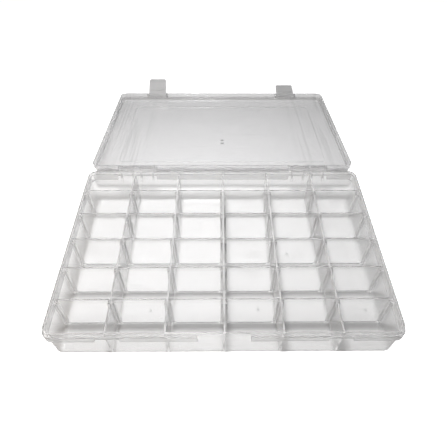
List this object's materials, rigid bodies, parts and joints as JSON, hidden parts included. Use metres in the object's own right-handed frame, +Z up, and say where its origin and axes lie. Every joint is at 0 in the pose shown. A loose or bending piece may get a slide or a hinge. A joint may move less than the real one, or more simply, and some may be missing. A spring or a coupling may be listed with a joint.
{
  "type": "compartment storage box",
  "caption": "Clear hinged storage box: a tray with fixed partitions and lift-out dividers in slots, and a snap-hinged lid with swinging latches.",
  "frame": {"origin": "centre of the tray's flat bottom face, which stands on the table", "axes": "+Z up; +Y from the front of the tray towards the hinges and the open lid; +X to the right seen from the front"},
  "size_m": [0.275, 0.4011, 0.0388],
  "materials": {
    "clear_plastic": "clear, moulded, polished",
    "clear_lid": "clear, moulded, polished",
    "divider_plastic": "clear, moulded, polished",
    "latch_plastic": "milky translucent, moulded, satin"
  },
  "bodies": {
    "tray": {"tray": "clear_plastic"},
    "lid": {"lid": "clear_lid"},
    "latch_left": {"latch_left": "latch_plastic"},
    "latch_right": {"latch_right": "latch_plastic"},
    "divider_row1_column1": {"divider_row1_column1": "divider_plastic"},
    "divider_row1_column2": {"divider_row1_column2": "divider_plastic"},
    "divider_row1_column3": {"divider_row1_column3": "divider_plastic"},
    "divider_row1_column4": {"divider_row1_column4": "divider_plastic"},
    "divider_row1_column5": {"divider_row1_column5": "divider_plastic"},
    "divider_row1_column6": {"divider_row1_column6": "divider_plastic"},
    "divider_row2_column1": {"divider_row2_column1": "divider_plastic"},
    "divider_row2_column2": {"divider_row2_column2": "divider_plastic"},
    "divider_row2_column3": {"divider_row2_column3": "divider_plastic"},
    "divider_row2_column4": {"divider_row2_column4": "divider_plastic"},
    "divider_row2_column5": {"divider_row2_column5": "divider_plastic"},
    "divider_row2_column6": {"divider_row2_column6": "divider_plastic"},
    "divider_row3_column1": {"divider_row3_column1": "divider_plastic"},
    "divider_row3_column2": {"divider_row3_column2": "divider_plastic"},
    "divider_row3_column3": {"divider_row3_column3": "divider_plastic"},
    "divider_row3_column4": {"divider_row3_column4": "divider_plastic"},
    "divider_row3_column5": {"divider_row3_column5": "divider_plastic"},
    "divider_row3_column6": {"divider_row3_column6": "divider_plastic"},
    "divider_row4_column1": {"divider_row4_column1": "divider_plastic"},
    "divider_row4_column2": {"divider_row4_column2": "divider_plastic"},
    "divider_row4_column3": {"divider_row4_column3": "divider_plastic"},
    "divider_row4_column4": {"divider_row4_column4": "divider_plastic"},
    "divider_row4_column5": {"divider_row4_column5": "divider_plastic"},
    "divider_row4_column6": {"divider_row4_column6": "divider_plastic"},
    "divider_row5_column1": {"divider_row5_column1": "divider_plastic"},
    "divider_row5_column2": {"divider_row5_column2": "divider_plastic"},
    "divider_row5_column3": {"divider_row5_column3": "divider_plastic"},
    "divider_row5_column4": {"divider_row5_column4": "divider_plastic"},
    "divider_row5_column5": {"divider_row5_column5": "divider_plastic"},
    "divider_row5_column6": {"divider_row5_column6": "divider_plastic"}
  },
  "joints": [
    {"name": "lid_hinge", "type": "hinge", "parent": "tray", "child": "lid", "pos_m": [0, 0.0975, 0.035], "axis": [-1, 0, 0], "range_deg": [-187.75, 0]},
    {"name": "latch_left_pivot", "type": "hinge", "parent": "lid", "child": "latch_left", "pos_m": [-0.0885, 0.28575, 0.00705], "axis": [-1, 0, 0], "range_deg": [-45, 45]},
    {"name": "latch_right_pivot", "type": "hinge", "parent": "lid", "child": "latch_right", "pos_m": [0.0885, 0.28575, 0.00705], "axis": [-1, 0, 0], "range_deg": [-75, 15]},
    {"name": "divider_row1_column1_lift", "type": "slide", "parent": "tray", "child": "divider_row1_column1", "axis": [0, 0, 1], "range_m": [0, 0.045]},
    {"name": "divider_row1_column2_lift", "type": "slide", "parent": "tray", "child": "divider_row1_column2", "axis": [0, 0, 1], "range_m": [0, 0.045]},
    {"name": "divider_row1_column3_lift", "type": "slide", "parent": "tray", "child": "divider_row1_column3", "axis": [0, 0, 1], "range_m": [0, 0.045]},
    {"name": "divider_row1_column4_lift", "type": "slide", "parent": "tray", "child": "divider_row1_column4", "axis": [0, 0, 1], "range_m": [0, 0.045]},
    {"name": "divider_row1_column5_lift", "type": "slide", "parent": "tray", "child": "divider_row1_column5", "axis": [0, 0, 1], "range_m": [0, 0.045]},
    {"name": "divider_row1_column6_lift", "type": "slide", "parent": "tray", "child": "divider_row1_column6", "axis": [0, 0, 1], "range_m": [0, 0.045]},
    {"name": "divider_row2_column1_lift", "type": "slide", "parent": "tray", "child": "divider_row2_column1", "axis": [0, 0, 1], "range_m": [0, 0.045]},
    {"name": "divider_row2_column2_lift", "type": "slide", "parent": "tray", "child": "divider_row2_column2", "axis": [0, 0, 1], "range_m": [0, 0.045]},
    {"name": "divider_row2_column3_lift", "type": "slide", "parent": "tray", "child": "divider_row2_column3", "axis": [0, 0, 1], "range_m": [0, 0.045]},
    {"name": "divider_row2_column4_lift", "type": "slide", "parent": "tray", "child": "divider_row2_column4", "axis": [0, 0, 1], "range_m": [0, 0.045]},
    {"name": "divider_row2_column5_lift", "type": "slide", "parent": "tray", "child": "divider_row2_column5", "axis": [0, 0, 1], "range_m": [0, 0.045]},
    {"name": "divider_row2_column6_lift", "type": "slide", "parent": "tray", "child": "divider_row2_column6", "axis": [0, 0, 1], "range_m": [0, 0.045]},
    {"name": "divider_row3_column1_lift", "type": "slide", "parent": "tray", "child": "divider_row3_column1", "axis": [0, 0, 1], "range_m": [0, 0.045]},
    {"name": "divider_row3_column2_lift", "type": "slide", "parent": "tray", "child": "divider_row3_column2", "axis": [0, 0, 1], "range_m": [0, 0.045]},
    {"name": "divider_row3_column3_lift", "type": "slide", "parent": "tray", "child": "divider_row3_column3", "axis": [0, 0, 1], "range_m": [0, 0.045]},
    {"name": "divider_row3_column4_lift", "type": "slide", "parent": "tray", "child": "divider_row3_column4", "axis": [0, 0, 1], "range_m": [0, 0.045]},
    {"name": "divider_row3_column5_lift", "type": "slide", "parent": "tray", "child": "divider_row3_column5", "axis": [0, 0, 1], "range_m": [0, 0.045]},
    {"name": "divider_row3_column6_lift", "type": "slide", "parent": "tray", "child": "divider_row3_column6", "axis": [0, 0, 1], "range_m": [0, 0.045]},
    {"name": "divider_row4_column1_lift", "type": "slide", "parent": "tray", "child": "divider_row4_column1", "axis": [0, 0, 1], "range_m": [0, 0.045]},
    {"name": "divider_row4_column2_lift", "type": "slide", "parent": "tray", "child": "divider_row4_column2", "axis": [0, 0, 1], "range_m": [0, 0.045]},
    {"name": "divider_row4_column3_lift", "type": "slide", "parent": "tray", "child": "divider_row4_column3", "axis": [0, 0, 1], "range_m": [0, 0.045]},
    {"name": "divider_row4_column4_lift", "type": "slide", "parent": "tray", "child": "divider_row4_column4", "axis": [0, 0, 1], "range_m": [0, 0.045]},
    {"name": "divider_row4_column5_lift", "type": "slide", "parent": "tray", "child": "divider_row4_column5", "axis": [0, 0, 1], "range_m": [0, 0.045]},
    {"name": "divider_row4_column6_lift", "type": "slide", "parent": "tray", "child": "divider_row4_column6", "axis": [0, 0, 1], "range_m": [0, 0.045]},
    {"name": "divider_row5_column1_lift", "type": "slide", "parent": "tray", "child": "divider_row5_column1", "axis": [0, 0, 1], "range_m": [0, 0.045]},
    {"name": "divider_row5_column2_lift", "type": "slide", "parent": "tray", "child": "divider_row5_column2", "axis": [0, 0, 1], "range_m": [0, 0.045]},
    {"name": "divider_row5_column3_lift", "type": "slide", "parent": "tray", "child": "divider_row5_column3", "axis": [0, 0, 1], "range_m": [0, 0.045]},
    {"name": "divider_row5_column4_lift", "type": "slide", "parent": "tray", "child": "divider_row5_column4", "axis": [0, 0, 1], "range_m": [0, 0.045]},
    {"name": "divider_row5_column5_lift", "type": "slide", "parent": "tray", "child": "divider_row5_column5", "axis": [0, 0, 1], "range_m": [0, 0.045]},
    {"name": "divider_row5_column6_lift", "type": "slide", "parent": "tray", "child": "divider_row5_column6", "axis": [0, 0, 1], "range_m": [0, 0.045]}
  ]
}
